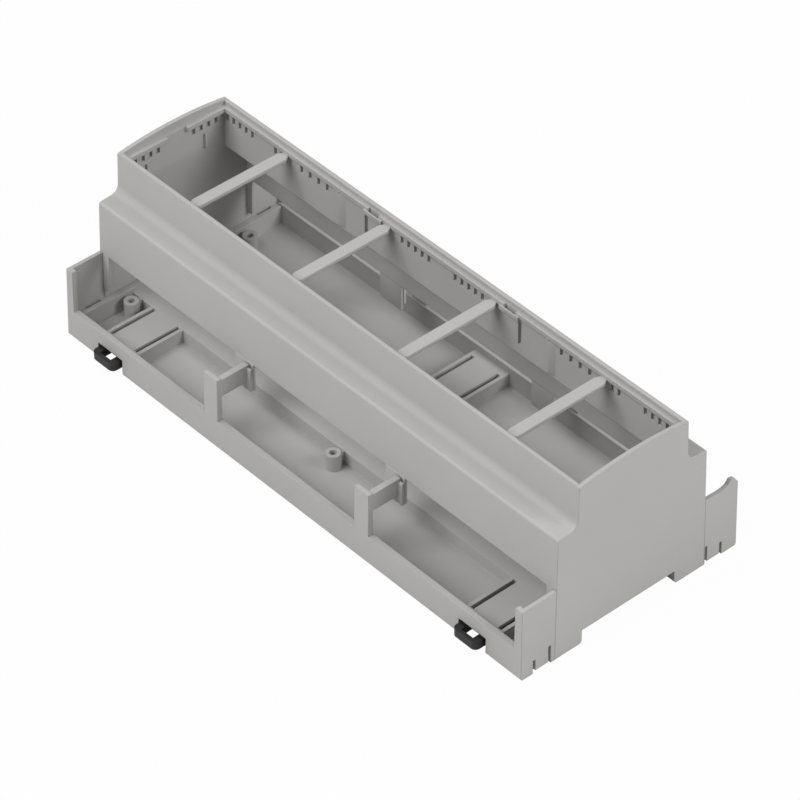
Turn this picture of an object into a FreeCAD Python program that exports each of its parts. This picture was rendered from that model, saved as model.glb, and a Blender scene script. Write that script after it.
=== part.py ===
import FreeCAD, Part
import Sketcher
import os

# Twelve-module stepped enclosure for a 35 mm rail. X runs along the rail, the latches face -Y and Z is up.
# Heights are measured from the feet; the finished bodies are lowered so that the rail's seat is at zero.

doc = FreeCAD.newDocument("enclosure")

SIZES = {
    # whole case
    "case_length": 213.5,
    "case_depth": 89.5,
    "end_draft": 0.0157,
    "side_draft": 0.0143,
    "seat_height": 5.0,
    "seam": 0.06,
    "edge_round": 0.8,
    # outside of the upper shell
    "rim_height": 62.4,
    "rim_crown": 1.75,
    "rim_half": 22.1,
    "step_half": 22.5,
    "step_height": 47.3,
    "step_fall": 0.5,
    "waist_half": 30.25,
    "waist_draft": 0.0172,
    "step_cove": 3.0,
    "step_round": 1.0,
    "sill_height": 26.9,
    "post_foot": 12.5,
    "post_width": 2.4,
    # inside of the upper shell
    "shell_wall": 2.0,
    "side_wall": 1.1,
    "lip_wall": 1.4,
    "ledge_drop": 1.5,
    "ledge_reach": 1.3,
    "ledge_thick": 1.7,
    "ledge_under": 0.7,
    "ledge_gap": 8.0,
    "bar_near": 24.3,
    "bar_far": 72.7,
    "bar_width": 4.2,
    "bar_tip": 1.8,
    "bar_taper": 2.4,
    "bar_top": 59.7,
    "bar_thick": 1.2,
    "slot_middle": 57.3,
    "slot_width": 1.3,
    "slot_tall": 3.2,
    "slot_deep": 1.0,
    "slot_pitch": 3.1,
    "slot_first": 6.0,
    "slot_group": 53.6,
    "slot_group_pitch": 4.1,
    "slot_bar_group": 72.4,
    "slot_end_group": 89.8,
    "end_slot_first": 7.3,
    "catch_at": 31.2,
    "catch_width": 8.5,
    "catch_top": 60.0,
    "catch_tall": 1.6,
    "catch_reach": 0.6,
    "catch_slot_width": 5.0,
    "catch_slot_deep": 1.0,
    "groove_at": 35.2,
    "groove_width": 1.4,
    "groove_foot": 48.6,
    "rib_at": 48.0,
    "rib_width": 1.1,
    "rib_proud": 0.8,
    "rib_foot": 46.0,
    "end_rib_at": 12.0,
    # base floor and walls
    "recess_front": 20.0,
    "recess_back": 18.5,
    "foot_chamfer": 0.8,
    "floor_thick": 2.0,
    "step_wall": 1.2,
    "bay_floor": 2.0,
    "front_wall_top": 11.0,
    "front_wall_thick": 2.3,
    "back_wall_top": 9.5,
    "back_wall_thick": 2.8,
    "curb_top": 9.1,
    "curb_thick": 2.2,
    "curb_slot": 0.8,
    "curb_slot_start": 33.0,
    "curb_slot_end": 39.0,
    "curb_slot_deep": 4.0,
    # ears at the corners
    "ear_thick": 1.35,
    "ear_lip": 3.4,
    "ear_lip_thick": 1.7,
    "ear_top": 27.2,
    "ear_tip_top": 28.3,
    "ear_cove_top": 25.9,
    "side_trim": 0.4,
    # tabs on the front and back walls
    "tab_at": 35.3,
    "tab_width": 6.4,
    "tab_thick": 1.7,
    "tab_top": 27.5,
    "web_thick": 2.2,
    "web_foot": 20.5,
    "web_top": 27.0,
    "web_end": 31.4,
    "tab_rib_wide": 1.8,
    "tab_rib_deep": 1.0,
    "tab_rib_foot": 17.5,
    "tab_rib_top": 26.0,
    # screw bosses
    "boss_at": 98.6,
    "boss_row": 25.0,
    "boss_radius": 2.55,
    "boss_hole": 1.2,
    "boss_top": 8.2,
    "boss_hole_deep": 5.0,
    "boss_web": 1.6,
    # latch guides
    "latch_at": 85.25,
    "slit_at": 6.05,
    "slit_width": 1.4,
    "slit_start": 21.3,
    "slit_end": 39.2,
    "guide_rib": 1.3,
    "guide_roof": 1.3,
    "notch_width": 12.0,
    "notch_top": 6.2,
    "guide_lip_reach": 2.3,
    "guide_lip_thick": 1.1,
    # slits in the end faces
    "end_slit": 1.0,
    "end_slit_inner": 32.5,
    "end_slit_outer": 38.7,
    "end_slit_high": 7.0,
    "end_slit_low": 5.1,
    "end_slit_shift": 0.7,
    "tongue_lift": 0.8,
    # rail hooks
    "hook_width": 12.0,
    "hook_reach": 2.3,
    "rail_flange": 1.0,
    "rail_gap": 0.2,
    "hook_thick": 2.0,
    # latches
    "latch_foot": 2.6,
    "latch_thick": 2.8,
    "latch_gap": 0.3,
    "latch_travel": 4.5,
    "loop_half": 5.2,
    "loop_leg": 2.7,
    "loop_reach": 48.2,
    "loop_bar": 1.6,
    "loop_window_end": 42.2,
    "loop_round": 1.9,
    "latch_tail": 20.5,
    "tail_step": 2.0,
    "nose_half": 4.4,
    "nose_end": 15.6,
    "nose_slope": 1.2,
    "spring_slot": 0.9,
    "spring_inset": 1.3,
    "spring_end": 23.5,
}

sheet = doc.addObject("Spreadsheet::Sheet", "Sizes")
for row, (alias, number) in enumerate(SIZES.items(), start=1):
    sheet.set(f"A{row}", alias)
    sheet.set(f"B{row}", str(number))
    sheet.setAlias(f"B{row}", alias)
doc.recompute()


def bind(text):
    # Turns a spaced-out formula of size names into an expression on the sheet.
    return " ".join("Sizes." + word if word in SIZES else word for word in text.split())


def value(text):
    return float(sheet.evalExpression(bind(text)))


def minus(text):
    return f"0 - ( {text} )"


def new_body(label):
    body = doc.addObject("PartDesign::Body", label)
    body.Label = label
    body.setExpression("Placement.Base.z", bind("0 - seat_height"))
    return body


def origin_plane(body, role):
    return next(item for item in body.Origin.OriginFeatures if item.Role == role)


def rectangle(left, bottom, right, top):
    return [(left, bottom), (right, bottom), (right, top), (left, top)]


def flipped(points):
    return [(minus(across), up) for across, up in reversed(points)]


def upended(points):
    return [(across, minus(up)) for across, up in reversed(points)]


def sketch(body, name, role, offset, loops, discs=()):
    # Draws closed loops and discs on a plane of the body; every coordinate follows the sheet.
    drawing = body.newObject("Sketcher::SketchObject", name)
    drawing.AttachmentSupport = (origin_plane(body, role), [""])
    drawing.MapMode = "FlatFace"
    drawing.setExpression("AttachmentOffset.Base.z", bind(offset))
    for points in loops:
        first = drawing.GeometryCount
        spots = [FreeCAD.Vector(value(across), value(up), 0) for across, up in points]
        count = len(spots)
        lines = [Part.LineSegment(spots[i], spots[(i + 1) % count]) for i in range(count)]
        drawing.addGeometry(lines, False)
        joins = [
            Sketcher.Constraint("Coincident", first + i, 2, first + (i + 1) % count, 1)
            for i in range(count)
        ]
        drawing.addConstraint(joins)
        number = drawing.ConstraintCount
        pins = []
        for i, spot in enumerate(spots):
            pins.append(Sketcher.Constraint("DistanceX", -1, 1, first + i, 1, spot.x))
            pins.append(Sketcher.Constraint("DistanceY", -1, 1, first + i, 1, spot.y))
        drawing.addConstraint(pins)
        for i, (across, up) in enumerate(points):
            drawing.setExpression(f"Constraints[{number + 2 * i}]", bind(across))
            drawing.setExpression(f"Constraints[{number + 2 * i + 1}]", bind(up))
    for across, up, radius in discs:
        spot = FreeCAD.Vector(value(across), value(up), 0)
        index = drawing.addGeometry(Part.Circle(spot, FreeCAD.Vector(0, 0, 1), value(radius)), False)
        number = drawing.ConstraintCount
        drawing.addConstraint([
            Sketcher.Constraint("DistanceX", -1, 1, index, 3, spot.x),
            Sketcher.Constraint("DistanceY", -1, 1, index, 3, spot.y),
            Sketcher.Constraint("Radius", index, value(radius)),
        ])
        drawing.setExpression(f"Constraints[{number}]", bind(across))
        drawing.setExpression(f"Constraints[{number + 1}]", bind(up))
        drawing.setExpression(f"Constraints[{number + 2}]", bind(radius))
    return drawing


def add(body, name, role, offset, length, loops, discs=()):
    # Adds material half the length to each side of the sketch's plane.
    pad = body.newObject("PartDesign::Pad", name)
    pad.Profile = sketch(body, name + "_sketch", role, offset, loops, discs)
    pad.SideType = "Symmetric"
    pad.setExpression("Length", bind(length))
    pad.Refine = False
    body.Tip = pad
    return pad


def cut(body, name, role, offset, length, loops, discs=()):
    # Removes material half the length to each side of the sketch's plane.
    pocket = body.newObject("PartDesign::Pocket", name)
    pocket.Profile = sketch(body, name + "_sketch", role, offset, loops, discs)
    pocket.SideType = "Symmetric"
    pocket.setExpression("Length", bind(length))
    pocket.Refine = False
    body.Tip = pocket
    return pocket


def mirror(body, name, features, role):
    copy = body.newObject("PartDesign::Mirrored", name)
    copy.Originals = features
    copy.MirrorPlane = (origin_plane(body, role), [""])
    copy.Refine = False
    body.Tip = copy
    return copy


def edges_along(shape, axis, first, second):
    # Names the straight edges along one axis that pass through a point given in the other two.
    names = []
    for number, edge in enumerate(shape.Edges, start=1):
        box = edge.BoundBox
        spans = {"x": box.XLength, "y": box.YLength, "z": box.ZLength}
        middle = {"x": box.Center.x, "y": box.Center.y, "z": box.Center.z}
        others = [key for key in "xyz" if key != axis]
        near = abs(middle[others[0]] - first) < 0.05 and abs(middle[others[1]] - second) < 0.05
        if near and spans[axis] > 0.5 and max(spans[key] for key in others) < 0.01:
            names.append(f"Edge{number}")
    return names


def soften(body, name, feature, edges, radius):
    fillet = body.newObject("PartDesign::Fillet", name)
    fillet.Base = (feature, edges)
    fillet.setExpression("Radius", bind(radius))
    body.Tip = fillet
    return fillet


HALF = "case_length / 2"
TALL = "( rim_height + rim_crown )"
BELOW = "0 - 1"


def end_at(height, inset="0"):
    # Distance of the drafted end face from the middle, at a height and set in by a wall.
    return f"{HALF} - end_draft * ( {height} ) - ( {inset} )"


def long_side(height):
    # Half depth of the shell's middle walls at a height.
    return f"waist_half + waist_draft * ( step_height - step_fall - ( {height} ) )"


def base_side(height):
    return f"case_depth / 2 - side_draft * ( {height} )"


def drafted(low, high, inset):
    # Long outline with drafted ends, seen from the front.
    return [
        (minus(end_at(low, inset)), low),
        (end_at(low, inset), low),
        (end_at(high, inset), high),
        (minus(end_at(high, inset)), high),
    ]


def end_wedges(top):
    # What lies outside the drafted end faces.
    wedge = [(end_at(BELOW), BELOW), (f"{HALF} + 2", BELOW), (f"{HALF} + 2", top), (end_at(top), top)]
    return [wedge, flipped(wedge)]


# Upper shell
shell = new_body("upper_shell")

SHOULDER = "step_height - step_fall"
outline = [
    (long_side("0"), "0"),
    ("waist_half", SHOULDER),
    ("step_half", "step_height"),
    ("rim_half", "rim_height"),
]
block = add(shell, "shell_block", "YZ_Plane", "0", "case_length", [outline + flipped(outline)])

# The rim of the end walls rises in a flat arc, drawn as short chords.
chords = 12
arc = []
for step in range(chords + 1):
    share = 1 - 2 * step / chords
    arc.append((f"rim_half * {share:.5f}", f"rim_height + rim_crown * {1 - share * share:.5f}"))
arc[0] = ("rim_half", "rim_height")
arc[-1] = (minus("rim_half"), "rim_height")
crown = add(shell, "crown", "YZ_Plane", "0", "case_length", [arc])
doc.recompute()

coves = []
for side in (-1, 1):
    coves += edges_along(crown.Shape, "x", side * value("step_half"), value("step_height"))
cove = soften(shell, "step_cove", crown, coves, "step_cove")
doc.recompute()
rounds = []
for side in (-1, 1):
    rounds += edges_along(cove.Shape, "x", side * value("waist_half"), value(SHOULDER))
soften(shell, "step_round", cove, rounds, "step_round")

cut(shell, "end_faces", "XZ_Plane", "0", "case_depth * 2", end_wedges(f"{TALL} + 1"))

# Hollow inside, from the feet up to the rim.
ROOM = "shell_wall"
LOWER_ROOM = "( step_height - step_fall - shell_wall )"
LEDGE_TOP = "( rim_height - ledge_drop )"
LEDGE_FOOT = "( rim_height - ledge_drop - ledge_thick )"
LIP_IN = "( rim_half - lip_wall )"
LEDGE_IN = "( rim_half - lip_wall - ledge_reach )"
WALL_IN = "( rim_half - lip_wall - ledge_reach + ledge_under )"
cut(shell, "lower_room", "XZ_Plane", "0", "( waist_half - side_wall ) * 2",
    [drafted(BELOW, LOWER_ROOM, ROOM)])
cut(shell, "upper_room", "XZ_Plane", "0", f"{WALL_IN} * 2",
    [drafted(f"{LOWER_ROOM} - 1", LEDGE_FOOT, ROOM)])
cut(shell, "ledge_opening", "XZ_Plane", "0", f"{LEDGE_IN} * 2",
    [drafted(f"{LEDGE_FOOT} - 1", f"{LEDGE_TOP} + 1", f"{ROOM} + ledge_reach")])
cut(shell, "ledge_end_gap", "XZ_Plane", "0", "ledge_gap",
    [drafted(f"{LEDGE_FOOT} - 1", f"{LEDGE_TOP} + 1", ROOM)])
cut(shell, "lip_opening", "XZ_Plane", "0", f"{LIP_IN} * 2",
    [drafted(LEDGE_TOP, f"{TALL} + 1", "lip_wall")])
cut(shell, "level_rim", "XZ_Plane", "0", "case_depth",
    [drafted("rim_height", f"{TALL} + 1", "lip_wall")])

# The middle walls stop above the bays and leave a short post at each end.
FAR = "case_depth / 2"
cut(shell, "bay_openings", "XZ_Plane", "0", "case_depth",
    [drafted(BELOW, "sill_height", "shell_wall + post_width")])
cut(shell, "below_posts", "XZ_Plane", "0", "case_depth",
    [drafted(BELOW, "post_foot", "shell_wall")])
cut(shell, "rail_recess", "YZ_Plane", "0", "case_length + 2", [[
    (minus("recess_front + foot_chamfer"), "0"),
    (minus("recess_front"), "foot_chamfer"),
    (minus("recess_front"), "seat_height"),
    ("recess_back", "seat_height"),
    ("recess_back", "foot_chamfer"),
    ("recess_back + foot_chamfer", "0"),
]])

# Snap slots and grooves under the ledge.
SLOT_LOW = "slot_middle - slot_tall / 2"
SLOT_HIGH = "slot_middle + slot_tall / 2"
places = [f"slot_first + {number} * slot_pitch" for number in range(5)]
places += [f"slot_group + {number} * slot_group_pitch" for number in range(4)]
places += [f"slot_bar_group + {number} * slot_pitch" for number in range(1, 3)]
places += [f"slot_end_group + {number} * slot_pitch" for number in range(5)]
slots = []
for place in places:
    slot = rectangle(f"{place} - slot_width / 2", SLOT_LOW, f"{place} + slot_width / 2", SLOT_HIGH)
    slots += [slot, flipped(slot)]
groove = rectangle("groove_at - groove_width / 2", "groove_foot",
                   "groove_at + groove_width / 2", "slot_middle")
slots += [groove, flipped(groove)]
front_slots = cut(shell, "wall_slots", "XZ_Plane", WALL_IN, "slot_deep * 2", slots)
mirror(shell, "wall_slots_back", [front_slots], "XZ_Plane")
slots = []
for number in range(4):
    place = f"end_slot_first + {number} * slot_pitch"
    slot = rectangle(f"{place} - slot_width / 2", SLOT_LOW, f"{place} + slot_width / 2", SLOT_HIGH)
    slots += [slot, flipped(slot)]
right_slots = cut(shell, "end_slots", "YZ_Plane", end_at("slot_middle", "shell_wall"),
                  "slot_deep * 2", slots)
mirror(shell, "end_slots_left", [right_slots], "YZ_Plane")

# Cross bars with tapered ends that run into the ledge.
BAR_END = f"( {LEDGE_IN} + 0.5 )"
bars = []
for place in ("bar_near", "bar_far"):
    bar = [
        (f"{place} - bar_tip / 2", minus(BAR_END)),
        (f"{place} + bar_tip / 2", minus(BAR_END)),
        (f"{place} + bar_width / 2", minus(f"{BAR_END} - bar_taper")),
        (f"{place} + bar_width / 2", f"{BAR_END} - bar_taper"),
        (f"{place} + bar_tip / 2", BAR_END),
        (f"{place} - bar_tip / 2", BAR_END),
        (f"{place} - bar_width / 2", f"{BAR_END} - bar_taper"),
        (f"{place} - bar_width / 2", minus(f"{BAR_END} - bar_taper")),
    ]
    bars += [bar, flipped(bar)]
add(shell, "cross_bars", "XY_Plane", "bar_top - bar_thick / 2", "bar_thick", bars)

# Catches on the ledge, each with a slot behind a thin bar, and ribs below it.
CATCH_IN = f"( {LEDGE_IN} - catch_reach )"
CATCH_MIDDLE = "catch_top - catch_tall / 2"
catch = rectangle("catch_at - catch_width / 2", CATCH_IN, "catch_at + catch_width / 2",
                  f"{LEDGE_IN} + 0.5")
catches = [catch, flipped(catch), upended(catch), upended(flipped(catch))]
add(shell, "catches", "XY_Plane", CATCH_MIDDLE, "catch_tall", catches)
window = rectangle("catch_at - catch_slot_width / 2", LEDGE_IN, "catch_at + catch_slot_width / 2",
                   f"{LEDGE_IN} + catch_slot_deep")
windows = [window, flipped(window), upended(window), upended(flipped(window))]
cut(shell, "catch_slots", "XY_Plane", LEDGE_TOP, "catch_tall * 2 + 2", windows)
rib = rectangle("rib_at - rib_width / 2", "rib_foot", "rib_at + rib_width / 2", LEDGE_FOOT)
front_ribs = add(shell, "wall_ribs", "XZ_Plane", WALL_IN, "rib_proud * 2", [rib, flipped(rib)])
mirror(shell, "wall_ribs_back", [front_ribs], "XZ_Plane")
upper_rib = rectangle("end_rib_at - rib_width / 2", "groove_foot", "end_rib_at + rib_width / 2",
                      "slot_middle - slot_tall")
right_ribs = add(shell, "end_ribs", "YZ_Plane", end_at("slot_middle", "shell_wall"),
                 "rib_proud * 2", [upper_rib, flipped(upper_rib)])
mirror(shell, "end_ribs_left", [right_ribs], "YZ_Plane")

# Base
base = new_body("base")

FLOOR_TOP = "( seat_height + floor_thick )"
FRONT_IN = "case_depth / 2 - front_wall_thick"
BACK_IN = "case_depth / 2 - back_wall_thick"
FRONT_STEP = "( recess_front + step_wall )"
BACK_STEP = "( recess_back + step_wall )"
tray = add(base, "tray", "YZ_Plane", "0", "case_length", [[
    (minus(base_side("0")), "0"),
    (minus("recess_front + foot_chamfer"), "0"),
    (minus("recess_front"), "foot_chamfer"),
    (minus("recess_front"), "seat_height"),
    ("recess_back", "seat_height"),
    ("recess_back", "foot_chamfer"),
    ("recess_back + foot_chamfer", "0"),
    (base_side("0"), "0"),
    (base_side("back_wall_top"), "back_wall_top"),
    (BACK_IN, "back_wall_top"),
    (BACK_IN, "bay_floor"),
    (BACK_STEP, "bay_floor"),
    (BACK_STEP, FLOOR_TOP),
    (minus(FRONT_STEP), FLOOR_TOP),
    (minus(FRONT_STEP), "bay_floor"),
    (minus(FRONT_IN), "bay_floor"),
    (minus(FRONT_IN), "front_wall_top"),
    (minus(base_side("front_wall_top")), "front_wall_top"),
]])
doc.recompute()
lower_edges = []
for side in (-1, 1):
    lower_edges += edges_along(tray.Shape, "x", side * value(base_side("0")), 0)
soften(base, "foot_rounds", tray, lower_edges, "edge_round")

# Ears close the bays at the ends: straight on the front, with a cove and a rounded tip at the back.
front_ear = [
    (minus(base_side("bay_floor")), "bay_floor - 0.5"),
    (minus("waist_half"), "bay_floor - 0.5"),
    (minus("waist_half"), "ear_top"),
    (minus(base_side("ear_top")), "ear_top"),
]
back_ear = [
    ("waist_half", "bay_floor - 0.5"),
    (base_side("bay_floor"), "bay_floor - 0.5"),
    (base_side("ear_cove_top"), "ear_cove_top"),
    (f"{base_side('ear_tip_top')} - 1.4", "ear_tip_top - 0.4"),
    (f"{base_side('ear_tip_top')} - 3.1", "ear_tip_top"),
    (f"{base_side('ear_tip_top')} - 4.4", "ear_cove_top + 0.8"),
    (f"{base_side('ear_tip_top')} - 6.2", "ear_cove_top + 0.15"),
    (f"{base_side('ear_tip_top')} - 8.3", "ear_cove_top"),
    ("waist_half", "ear_cove_top + 0.3"),
]
EAR_IN = f"( {end_at('ear_top', 'ear_thick')} )"
right_ears = add(base, "ears", "YZ_Plane", f"( {EAR_IN} + {HALF} ) / 2", f"{HALF} - {EAR_IN}",
                 [front_ear, back_ear])
mirror(base, "ears_left", [right_ears], "YZ_Plane")

# The ears turn in at their outer edge, flush with the front and back walls.
front_lip = rectangle(f"{HALF} - ear_lip", "bay_floor", HALF, "ear_top")
add(base, "ear_lips_front", "XZ_Plane",
    f"( {base_side('ear_top')} - ear_lip_thick / 2 + side_trim / 2 )",
    "ear_lip_thick + side_trim",
    [front_lip, flipped(front_lip)])
back_lip = rectangle(f"{HALF} - ear_lip", "bay_floor", HALF, "ear_cove_top")
add(base, "ear_lips_back", "XZ_Plane",
    minus(f"{base_side('ear_cove_top')} - ear_lip_thick / 2 + side_trim / 2"),
    "ear_lip_thick + side_trim", [back_lip, flipped(back_lip)])

# Curb along the foot of the end walls, with a slot beside each ear.
SHELL_IN = f"( {end_at('curb_top', 'shell_wall')} - seam )"
curb = [
    (minus(FRONT_IN), "bay_floor - 0.5"),
    (minus("recess_front"), "bay_floor - 0.5"),
    (minus("recess_front"), "seat_height"),
    ("recess_back", "seat_height"),
    ("recess_back", "bay_floor - 0.5"),
    (BACK_IN, "bay_floor - 0.5"),
    (BACK_IN, "curb_top"),
    (minus(FRONT_IN), "curb_top"),
]
right_curb = add(base, "curb", "YZ_Plane", f"{SHELL_IN} - curb_thick / 2 + 0.4",
                 "curb_thick + 0.8", [curb])
mirror(base, "curb_left", [right_curb], "YZ_Plane")
slot = rectangle(f"{EAR_IN} - curb_slot", "curb_slot_start", EAR_IN, "curb_slot_end")
cut(base, "curb_slots", "XY_Plane", "curb_top", "curb_slot_deep * 2",
    [slot, flipped(slot), upended(slot), upended(flipped(slot))])

# Room for the shell's end walls, which come down to the feet.
ROOM_TOP = "( ear_tip_top + 1 )"
room = [(f"{long_side(BELOW)} + seam", BELOW), (f"{long_side(ROOM_TOP)} + seam", ROOM_TOP)]
right_room = cut(base, "shell_end_room", "YZ_Plane", HALF, f"( {HALF} - {SHELL_IN} ) * 2",
                 [room + flipped(room)])
mirror(base, "shell_end_room_left", [right_room], "YZ_Plane")
cut(base, "base_end_faces", "XZ_Plane", "0", "case_depth * 2", end_wedges("ear_tip_top + 1"))

# Guide boxes over the two latches, and one like them in the middle of the back bay.
CHANNEL = "( slit_at + slit_width / 2 )"
GUIDE_EDGE = "( slit_at + slit_width / 2 + guide_rib )"
ROOF_UNDER = f"( {FLOOR_TOP} - guide_roof )"
guides = []
channels = []
slits = []
notches = []
lips = []
for centre in ("latch_at", "0 - latch_at"):
    guides.append(rectangle(f"{centre} - {GUIDE_EDGE}", minus(f"{FRONT_IN} + 0.5"),
                            f"{centre} + {GUIDE_EDGE}", minus(f"{FRONT_STEP} - 0.5")))
    channels.append(rectangle(f"{centre} - {CHANNEL}", minus(FRONT_IN),
                              f"{centre} + {CHANNEL}", minus("latch_tail - tail_step - latch_gap")))
    notches.append(rectangle(f"{centre} - notch_width / 2", minus(f"{FAR} + 1"),
                             f"{centre} + notch_width / 2", minus(f"{FRONT_IN} - 0.1")))
    for side in ("-", "+"):
        slits.append(rectangle(f"{centre} {side} slit_at - slit_width / 2", minus("slit_end"),
                               f"{centre} {side} slit_at + slit_width / 2", minus("slit_start")))
    lips.append(rectangle(f"{centre} - {CHANNEL} - 0.2", minus("slit_end"),
                          f"{centre} - {CHANNEL} + guide_lip_reach", minus("slit_start")))
    lips.append(rectangle(f"{centre} + {CHANNEL} - guide_lip_reach", minus("slit_end"),
                          f"{centre} + {CHANNEL} + 0.2", minus("slit_start")))
guides.append(rectangle(minus(GUIDE_EDGE), f"{BACK_STEP} - 0.5", GUIDE_EDGE, f"{BACK_IN} + 0.5"))
channels.append(rectangle(minus(CHANNEL), f"{BACK_STEP} - 0.1", CHANNEL, BACK_IN))
for side in ("-", "+"):
    slits.append(rectangle(f"0 {side} slit_at - slit_width / 2", "slit_start",
                           f"0 {side} slit_at + slit_width / 2", "slit_end"))
for left, right in ((minus(f"{CHANNEL} + 0.2"), minus(f"{CHANNEL} - guide_lip_reach")),
                    (f"{CHANNEL} - guide_lip_reach", f"{CHANNEL} + 0.2")):
    lips.append(rectangle(left, "slit_start", right, "slit_end"))
add(base, "guide_boxes", "XY_Plane", f"{FLOOR_TOP} / 2 + 0.5", f"{FLOOR_TOP} - 1", guides)
cut(base, "guide_channels", "XY_Plane", "0", f"{ROOF_UNDER} * 2", channels)
cut(base, "front_notches", "XY_Plane", "0", "notch_top * 2", notches)
cut(base, "guide_slits", "XY_Plane", FLOOR_TOP, "guide_roof * 2 + 1", slits)
LIP_TOP = "latch_foot - latch_gap"
add(base, "channel_lips", "XY_Plane", f"{LIP_TOP} - guide_lip_thick / 2", "guide_lip_thick", lips)

# L-shaped tabs on the front and back walls.
tabs = []
webs = []
ribs = []
for centre in ("tab_at", "0 - tab_at"):
    left = f"{centre} - tab_width / 2"
    right = f"{centre} + tab_width / 2"
    tabs.append(rectangle(left, "bay_floor", right, "tab_top"))
    webs.append(rectangle(f"{right} - web_thick", "web_foot", right, "web_top"))
    ribs.append(rectangle(f"{right} - web_thick", "tab_rib_foot", f"{right} + tab_rib_wide",
                          "tab_rib_top"))
PLATE_AT = f"( {base_side('tab_top')} - tab_thick / 2 )"
front_tabs = add(base, "tab_plates", "XZ_Plane", f"( {PLATE_AT} + side_trim / 2 )",
                 "tab_thick + side_trim", tabs)
front_webs = add(base, "tab_webs", "XZ_Plane", f"( {PLATE_AT} + web_end ) / 2",
                 f"{PLATE_AT} - web_end", webs)
front_tab_ribs = add(base, "tab_ribs", "XZ_Plane", "web_end + tab_rib_deep / 2", "tab_rib_deep", ribs)
mirror(base, "tabs_back", [front_tabs, front_webs, front_tab_ribs], "XZ_Plane")

# The outer faces of the ears and tabs follow the draft of the front and back walls.
outside = [
    (base_side("edge_round + 0.2"), "edge_round + 0.2"),
    (f"{FAR} + 2", "edge_round + 0.2"),
    (f"{FAR} + 2", "ear_tip_top + 1"),
    (base_side("ear_tip_top + 1"), "ear_tip_top + 1"),
]
cut(base, "side_faces", "YZ_Plane", "0", "case_length + 2", [outside, flipped(outside)])

# Screw bosses in the bays, each joined to the step behind it.
spots = [
    (minus("boss_at"), minus("boss_row")),
    ("0", minus("boss_row")),
    ("boss_at", minus("boss_row")),
    (minus("boss_at"), "boss_row"),
    ("boss_at", "boss_row"),
]
BOSS_MIDDLE = "( boss_top + bay_floor - 0.5 ) / 2"
BOSS_TALL = "boss_top - bay_floor + 0.5"
add(base, "bosses", "XY_Plane", BOSS_MIDDLE, BOSS_TALL, [],
    [(across, up, "boss_radius") for across, up in spots])
webs = []
for across, up in spots[:3]:
    webs.append(rectangle(f"{across} - boss_web / 2", minus("boss_row - boss_hole - 0.3"),
                          f"{across} + boss_web / 2", minus(f"{FRONT_STEP} - 0.3")))
for across, up in spots[3:]:
    webs.append(rectangle(f"{across} - boss_web / 2", f"{BACK_STEP} - 0.3",
                          f"{across} + boss_web / 2", "boss_row - boss_hole - 0.3"))
add(base, "boss_webs", "XY_Plane", f"( {FLOOR_TOP} + 1 ) / 2", f"{FLOOR_TOP} - 1", webs)
cut(base, "boss_holes", "XY_Plane", "boss_top", "boss_hole_deep * 2", [],
    [(across, up, "boss_hole") for across, up in spots])

# Fixed hooks for the rail's back edge.
HOOK_TOP = "( seat_height - rail_flange - rail_gap )"
hooks = []
for centre in ("latch_at", "0", "0 - latch_at"):
    hooks.append(rectangle(f"{centre} - hook_width / 2", "recess_back - hook_reach",
                           f"{centre} + hook_width / 2", "recess_back + 0.5"))
add(base, "rail_hooks", "XY_Plane", f"{HOOK_TOP} - hook_thick / 2", "hook_thick", hooks)

# Slits that leave sprung tongues in the feet at both ends.
end_cuts = []
tongues = []
for side, shift in ((1, "( 0 - end_slit_shift )"), (-1, "end_slit_shift")):
    inner_at = f"end_slit_inner + {shift}"
    outer_at = f"end_slit_outer + {shift}"
    cuts = [
        rectangle(f"{inner_at} - end_slit / 2", BELOW, f"{inner_at} + end_slit / 2", "end_slit_high"),
        rectangle(f"{outer_at} - end_slit / 2", BELOW, f"{outer_at} + end_slit / 2", "end_slit_low"),
    ]
    tongue = rectangle(inner_at, BELOW, outer_at, "tongue_lift")
    end_cuts += cuts if side > 0 else [flipped(item) for item in cuts]
    tongues.append(tongue if side > 0 else flipped(tongue))
right_cuts = cut(base, "end_slits", "YZ_Plane", HALF, "ear_thick * 2", end_cuts)
mirror(base, "end_slits_left", [right_cuts], "YZ_Plane")
right_lift = cut(base, "tongues", "YZ_Plane", HALF, "ear_thick * 2", tongues)
mirror(base, "tongues_left", [right_lift], "YZ_Plane")


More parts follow.
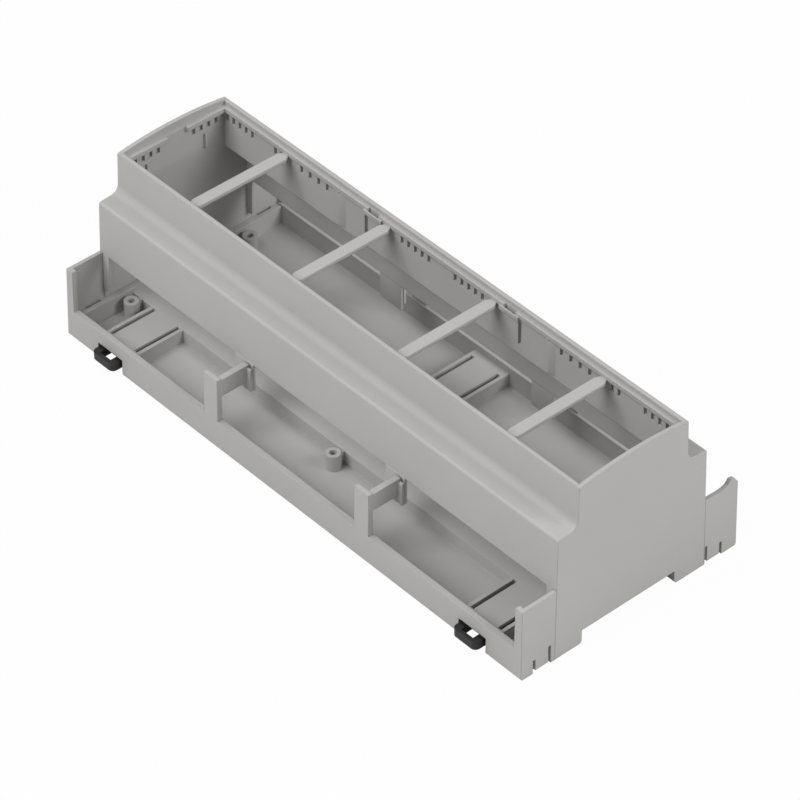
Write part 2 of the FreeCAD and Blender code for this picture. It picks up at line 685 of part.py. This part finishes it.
# Latches
def rail_latch(label, centre):
    # Sliding plate with a finger loop outside the front wall and a nose under the rail's flange.
    latch = new_body(label)
    middle = "latch_foot + latch_thick / 2"
    shoulder = f"( {FRONT_IN} - latch_travel - latch_gap )"
    wide = f"( {CHANNEL} - latch_gap )"
    half = [
        ("loop_half", minus("loop_reach")),
        ("loop_half", minus(shoulder)),
        (wide, minus(shoulder)),
        (wide, minus("latch_tail")),
        ("nose_half", minus("latch_tail")),
        ("nose_half", minus("latch_tail - tail_step")),
    ]
    outline = [(f"{centre} + {across}", up) for across, up in half]
    outline += [(f"{centre} - {across}", up) for across, up in reversed(half)]
    plate = add(latch, label + "_plate", "XY_Plane", middle, "latch_thick", [outline])
    doc.recompute()
    corners = []
    for side in (-1, 1):
        corners += edges_along(plate.Shape, "z", value(centre) + side * value("loop_half"),
                               -value("loop_reach"))
    soften(latch, label + "_corners", plate, corners, "loop_round")
    window = rectangle(f"{centre} - loop_half + loop_leg", minus("loop_reach - loop_bar"),
                       f"{centre} + loop_half - loop_leg", minus("loop_window_end"))
    springs = [window]
    for near, far in (
        (f"{wide} - spring_inset - spring_slot", f"{wide} - spring_inset"),
        (minus(f"{wide} - spring_inset"), minus(f"{wide} - spring_inset - spring_slot")),
    ):
        springs.append(rectangle(f"{centre} + ( {near} )", minus(shoulder) + " + spring_inset",
                                 f"{centre} + ( {far} )", minus("spring_end")))
    cut(latch, label + "_windows", "XY_Plane", middle, "latch_thick + 2", springs)
    nose_top = "( seat_height - rail_flange - rail_gap )"
    nose = [
        (minus("latch_tail"), "latch_foot"),
        (minus("nose_end + nose_slope"), "latch_foot"),
        (minus("nose_end"), f"{nose_top} - 0.4"),
        (minus("nose_end"), nose_top),
        (minus("latch_tail"), nose_top),
    ]
    add(latch, label + "_nose", "YZ_Plane", centre, "nose_half * 2", [nose])
    return latch


latch_left = rail_latch("latch_left", "0 - latch_at")
latch_right = rail_latch("latch_right", "latch_at")

# Faces that lie in one plane are joined once, on each finished body.
for body in (base, shell, latch_left, latch_right):
    body.Tip.Refine = True
doc.recompute()

os.makedirs("parts", exist_ok=True)
for item in doc.Objects:
    if "Invalid" in item.State or "Error" in item.State:
        raise RuntimeError(f"{item.Name} did not build: {item.State}")
for body in (base, shell, latch_left, latch_right):
    if body.Shape.isNull() or not body.Shape.isValid() or len(body.Shape.Solids) != 1:
        raise RuntimeError(f"{body.Label} is not one sound solid")
    body.Shape.exportStep(f"parts/{body.Label}.step")
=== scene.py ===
import bpy
import math
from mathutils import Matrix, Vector


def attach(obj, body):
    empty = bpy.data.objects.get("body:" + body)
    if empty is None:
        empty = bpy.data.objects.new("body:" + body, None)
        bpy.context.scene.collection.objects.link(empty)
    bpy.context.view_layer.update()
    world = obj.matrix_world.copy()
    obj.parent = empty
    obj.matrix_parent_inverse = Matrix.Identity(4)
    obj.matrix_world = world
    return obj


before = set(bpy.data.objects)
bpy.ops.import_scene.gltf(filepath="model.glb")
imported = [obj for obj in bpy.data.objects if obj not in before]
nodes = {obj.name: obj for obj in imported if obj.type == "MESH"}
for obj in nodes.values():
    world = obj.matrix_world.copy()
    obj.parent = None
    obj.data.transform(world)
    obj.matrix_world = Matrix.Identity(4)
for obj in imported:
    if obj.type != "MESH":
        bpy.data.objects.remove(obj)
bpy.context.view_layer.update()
millimetre = 0.001
seatHeight = 5.0  # the rail's seat above the feet, in millimetres
print("frame loaded")


# Materials: moulded plastic with a fine grain, faint flow marks and an uneven sheen.
noiseLow, noiseHigh = 0.3, 0.7  # the band that the noise mostly keeps to
opaque = 1.0
bevelSamples = 6


def mouldedPlastic(name, look):
    material = bpy.data.materials.new(name)
    material.use_nodes = True
    tree = material.node_tree
    shader = tree.nodes["Principled BSDF"]
    place = tree.nodes.new("ShaderNodeTexCoord")

    # broad, faint change of tone where the plastic flowed into the mould
    flow = tree.nodes.new("ShaderNodeTexNoise")
    flow.inputs["Scale"].default_value = look["flowScale"]
    flow.inputs["Detail"].default_value = look["flowDetail"]
    flow.inputs["Roughness"].default_value = look["flowRough"]
    tree.links.new(place.outputs["Object"], flow.inputs["Vector"])
    tone = tree.nodes.new("ShaderNodeValToRGB")
    low, high = tone.color_ramp.elements
    low.position, low.color = noiseLow, (*look["toneLow"], opaque)
    high.position, high.color = noiseHigh, (*look["toneHigh"], opaque)
    tree.links.new(flow.outputs["Fac"], tone.inputs["Fac"])

    # spark-eroded grain, a tenth of a millimetre across
    grain = tree.nodes.new("ShaderNodeTexNoise")
    grain.inputs["Scale"].default_value = look["grainScale"]
    grain.inputs["Detail"].default_value = look["grainDetail"]
    grain.inputs["Roughness"].default_value = look["grainRough"]
    tree.links.new(place.outputs["Object"], grain.inputs["Vector"])
    speck = tree.nodes.new("ShaderNodeMapRange")
    speck.inputs["From Min"].default_value = noiseLow
    speck.inputs["From Max"].default_value = noiseHigh
    speck.inputs["To Min"].default_value = 1.0 - look["speck"]
    speck.inputs["To Max"].default_value = 1.0 + look["speck"]
    tree.links.new(grain.outputs["Fac"], speck.inputs["Value"])
    tint = tree.nodes.new("ShaderNodeVectorMath")
    tint.operation = "SCALE"
    tree.links.new(tone.outputs["Color"], tint.inputs[0])
    tree.links.new(speck.outputs["Result"], tint.inputs["Scale"])
    tree.links.new(tint.outputs["Vector"], shader.inputs["Base Color"])

    sheen = tree.nodes.new("ShaderNodeMapRange")
    sheen.inputs["From Min"].default_value = noiseLow
    sheen.inputs["From Max"].default_value = noiseHigh
    sheen.inputs["To Min"].default_value = look["roughLow"]
    sheen.inputs["To Max"].default_value = look["roughHigh"]
    tree.links.new(flow.outputs["Fac"], sheen.inputs["Value"])
    tree.links.new(sheen.outputs["Result"], shader.inputs["Roughness"])

    # moulded edges are never quite sharp and catch the light
    edge = tree.nodes.new("ShaderNodeBevel")
    edge.samples = bevelSamples
    edge.inputs["Radius"].default_value = look["edgeRadius"]
    relief = tree.nodes.new("ShaderNodeBump")
    tree.links.new(edge.outputs["Normal"], relief.inputs["Normal"])
    relief.inputs["Strength"].default_value = look["reliefStrength"]
    relief.inputs["Distance"].default_value = look["reliefDepth"]
    tree.links.new(grain.outputs["Fac"], relief.inputs["Height"])
    tree.links.new(relief.outputs["Normal"], shader.inputs["Normal"])
    shader.inputs["IOR"].default_value = look["ior"]
    shader.inputs["Specular IOR Level"].default_value = look["specular"]
    return material


greyLook = {
    "toneLow": (0.386, 0.381, 0.372),
    "toneHigh": (0.405, 0.4, 0.39),
    "flowScale": 26.0,
    "flowDetail": 3.0,
    "flowRough": 0.5,
    "grainScale": 5200.0,
    "grainDetail": 2.0,
    "grainRough": 0.6,
    "speck": 0.03,
    "roughLow": 0.52,
    "roughHigh": 0.6,
    "reliefStrength": 0.25,
    "reliefDepth": 0.00003,
    "ior": 1.5,
    "specular": 0.4,
    "edgeRadius": 0.45 * millimetre,
}
baseLook = dict(greyLook, flowScale=31.0, toneLow=(0.384, 0.379, 0.37), toneHigh=(0.402, 0.397, 0.387))
blackLook = dict(
    greyLook,
    toneLow=(0.009, 0.009, 0.0095),
    toneHigh=(0.014, 0.014, 0.0145),
    flowScale=90.0,
    grainScale=4200.0,
    speck=0.12,
    roughLow=0.36,
    roughHigh=0.46,
    reliefStrength=0.3,
    reliefDepth=0.00004,
    specular=0.5,
    edgeRadius=0.3 * millimetre,
)
looks = {
    "upper_shell": mouldedPlastic("shellPlastic", greyLook),
    "base": mouldedPlastic("basePlastic", baseLook),
    "latch_left": mouldedPlastic("latchPlasticLeft", blackLook),
    "latch_right": mouldedPlastic("latchPlasticRight", blackLook),
}
for nodeName, material in looks.items():
    mesh = nodes[nodeName].data
    mesh.materials.clear()
    mesh.materials.append(material)
print("materials done")


# Small moulded pieces that the solids leave out. Heights are from the feet, in millimetres.
roundingSteps = 3
smoothBelow = 35.0


def mouldedBlock(name, low, high, edge, look, body, turn=0.0):
    bpy.ops.object.select_all(action="DESELECT")
    bpy.ops.mesh.primitive_cube_add(size=1.0, location=(0, 0, 0))
    piece = bpy.context.object
    piece.name = name
    piece.scale = [(top - foot) * millimetre for foot, top in zip(low, high)]
    middle = [(top + foot) / 2 for foot, top in zip(low, high)]
    piece.location = (
        middle[0] * millimetre,
        middle[1] * millimetre,
        (middle[2] - seatHeight) * millimetre,
    )
    piece.rotation_euler = (0.0, 0.0, math.radians(turn))
    bpy.ops.object.transform_apply(location=True, rotation=True, scale=True)
    rounding = piece.modifiers.new("rounding", "BEVEL")
    rounding.width = edge * millimetre
    rounding.segments = roundingSteps
    bpy.ops.object.modifier_apply(modifier="rounding")
    bpy.ops.object.shade_smooth_by_angle(angle=math.radians(smoothBelow))
    piece.data.materials.append(look)
    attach(piece, body)


# The upper shell's long walls reach down behind the tabs.
tongueFacts = {
    "tab": 35.3, "before": 4.3, "beyond": {"Front": 4.3, "Back": 5.7},
    "inner": 29.6, "outer": {"Front": 30.7, "Back": 30.6}, "foot": 16.4, "top": 27.4, "edge": 0.25,
}
for sideName, across in (("Left", -1), ("Right", 1)):
    for rowName, depth in (("Front", -1), ("Back", 1)):
        spans = [
            (
                across * tongueFacts["tab"] - tongueFacts["before"],
                across * tongueFacts["tab"] + tongueFacts["beyond"][rowName],
            ),
            sorted((depth * tongueFacts["inner"], depth * tongueFacts["outer"][rowName])),
            (tongueFacts["foot"], tongueFacts["top"]),
        ]
        mouldedBlock(
            "shellTongue" + rowName + sideName,
            [span[0] for span in spans],
            [span[1] for span in spans],
            tongueFacts["edge"],
            looks["upper_shell"],
            "housing",
        )
print("tongues done")

# A plate closes the guide in the back bay from below.
guideFacts = {"half": 6.65, "near": 20.2, "far": 41.6, "foot": 0.3, "top": 1.1, "edge": 0.15}
mouldedBlock(
    "backGuideFloor",
    (-guideFacts["half"], guideFacts["near"], guideFacts["foot"]),
    (guideFacts["half"], guideFacts["far"], guideFacts["top"]),
    guideFacts["edge"],
    looks["base"],
    "housing",
)
print("guide floor done")

# The ribs inside the upper walls run out in a shallow slope on one side.
slopeFacts = {
    "rib": 48.0, "beside": 1.8, "half": 1.6, "face": 19.95, "thick": 0.5,
    "foot": 46.0, "top": 58.8, "turn": 18.0, "edge": 0.1,
}
for sideName, across in (("Left", -1), ("Right", 1)):
    for rowName, depth in (("Front", -1), ("Back", 1)):
        middleX = across * slopeFacts["rib"] + slopeFacts["beside"]
        middleY = depth * slopeFacts["face"]
        mouldedBlock(
            "ribSlope" + rowName + sideName,
            (middleX - slopeFacts["half"], middleY - slopeFacts["thick"] / 2, slopeFacts["foot"]),
            (middleX + slopeFacts["half"], middleY + slopeFacts["thick"] / 2, slopeFacts["top"]),
            slopeFacts["edge"],
            looks["upper_shell"],
            "housing",
            turn=depth * slopeFacts["turn"],
        )
print("rib slopes done")

# Floor: white, and it keeps a faint shadow of the object.
floorLook = {"half": 4.0, "height": -seatHeight * millimetre, "shade": (0.6, 0.6, 0.6, 1.0), "cameraWhite": 0.97}
bpy.ops.object.select_all(action="DESELECT")
bpy.ops.mesh.primitive_plane_add(size=2 * floorLook["half"], location=(0, 0, floorLook["height"]))
floor = bpy.context.object
floor.name = "floor"
bpy.ops.object.transform_apply(location=True, rotation=False, scale=False)
floorMaterial = bpy.data.materials.new("floorWhite")
floorMaterial.use_nodes = True
tree = floorMaterial.node_tree
tree.nodes.clear()
output = tree.nodes.new("ShaderNodeOutputMaterial")
matt = tree.nodes.new("ShaderNodeBsdfDiffuse")
matt.inputs["Color"].default_value = floorLook["shade"]
glow = tree.nodes.new("ShaderNodeEmission")
glow.inputs["Color"].default_value = (1.0, 1.0, 1.0, 1.0)
glow.inputs["Strength"].default_value = 1.0
path = tree.nodes.new("ShaderNodeLightPath")
seen = tree.nodes.new("ShaderNodeMath")
seen.operation = "ADD"
tree.links.new(path.outputs["Is Camera Ray"], seen.inputs[0])
tree.links.new(path.outputs["Is Transmission Ray"], seen.inputs[1])
share = tree.nodes.new("ShaderNodeMath")
share.operation = "MULTIPLY"
share.inputs[1].default_value = floorLook["cameraWhite"]
tree.links.new(seen.outputs["Value"], share.inputs[0])
blend = tree.nodes.new("ShaderNodeMixShader")
tree.links.new(share.outputs["Value"], blend.inputs["Fac"])
tree.links.new(matt.outputs["BSDF"], blend.inputs[1])
tree.links.new(glow.outputs["Emission"], blend.inputs[2])
tree.links.new(blend.outputs["Shader"], output.inputs["Surface"])
floor.data.materials.append(floorMaterial)
print("floor done")

# Light: a pale surround, a main lamp at the front left, a wide one on the left and one behind on the right.
world = bpy.data.worlds.new("surround")
bpy.context.scene.world = world
world.use_nodes = True
surroundLook = {"colour": (1.0, 1.0, 1.0, 1.0), "strength": 0.35}
background = world.node_tree.nodes["Background"]
background.inputs["Color"].default_value = surroundLook["colour"]
background.inputs["Strength"].default_value = surroundLook["strength"]

lamps = {
    "frontLeft": {"spot": (-0.3, -1.25, 1.3), "aim": (0, 0, 0.02), "size": 1.1, "power": 23.3},
    "left": {"spot": (-1.2, -0.1, 1.5), "aim": (0, 0, 0.03), "size": 1.4, "power": 8.0},
    "backRight": {"spot": (1.4, 0.45, 0.95), "aim": (0, 0, 0.02), "size": 0.8, "power": 18.0},
}
for lampName, facts in lamps.items():
    lamp = bpy.data.lights.new(lampName, "AREA")
    lamp.shape = "SQUARE"
    lamp.size = facts["size"]
    lamp.energy = facts["power"]
    lampObject = bpy.data.objects.new(lampName, lamp)
    lampObject.location = facts["spot"]
    away = Vector(facts["spot"]) - Vector(facts["aim"])
    lampObject.rotation_euler = away.to_track_quat("Z", "Y").to_euler()
    bpy.context.scene.collection.objects.link(lampObject)
print("lights done")

# Camera: where the photograph was taken from.
cameraFacts = {
    "azimuth": 48.22,
    "elevation": 40.95,
    "distance": 1429.7 * millimetre,
    "target": (5.72 * millimetre, -2.35 * millimetre, 15.19 * millimetre),
    "lens": 207.87,
    "sensor": 36.0,
    "nearest": 0.05,
    "farthest": 20.0,
}
camera = bpy.data.cameras.new("camera")
camera.sensor_width = cameraFacts["sensor"]
camera.lens = cameraFacts["lens"]
camera.clip_start = cameraFacts["nearest"]
camera.clip_end = cameraFacts["farthest"]
cameraObject = bpy.data.objects.new("camera", camera)
turn = math.radians(cameraFacts["azimuth"])
rise = math.radians(cameraFacts["elevation"])
back = Vector((math.sin(turn) * math.cos(rise), -math.cos(turn) * math.cos(rise), math.sin(rise)))
cameraObject.location = Vector(cameraFacts["target"]) + back * cameraFacts["distance"]
cameraObject.rotation_euler = back.to_track_quat("Z", "Y").to_euler()
bpy.context.scene.collection.objects.link(cameraObject)
bpy.context.scene.camera = cameraObject
bpy.context.scene.view_settings.view_transform = "Standard"
print("camera done")
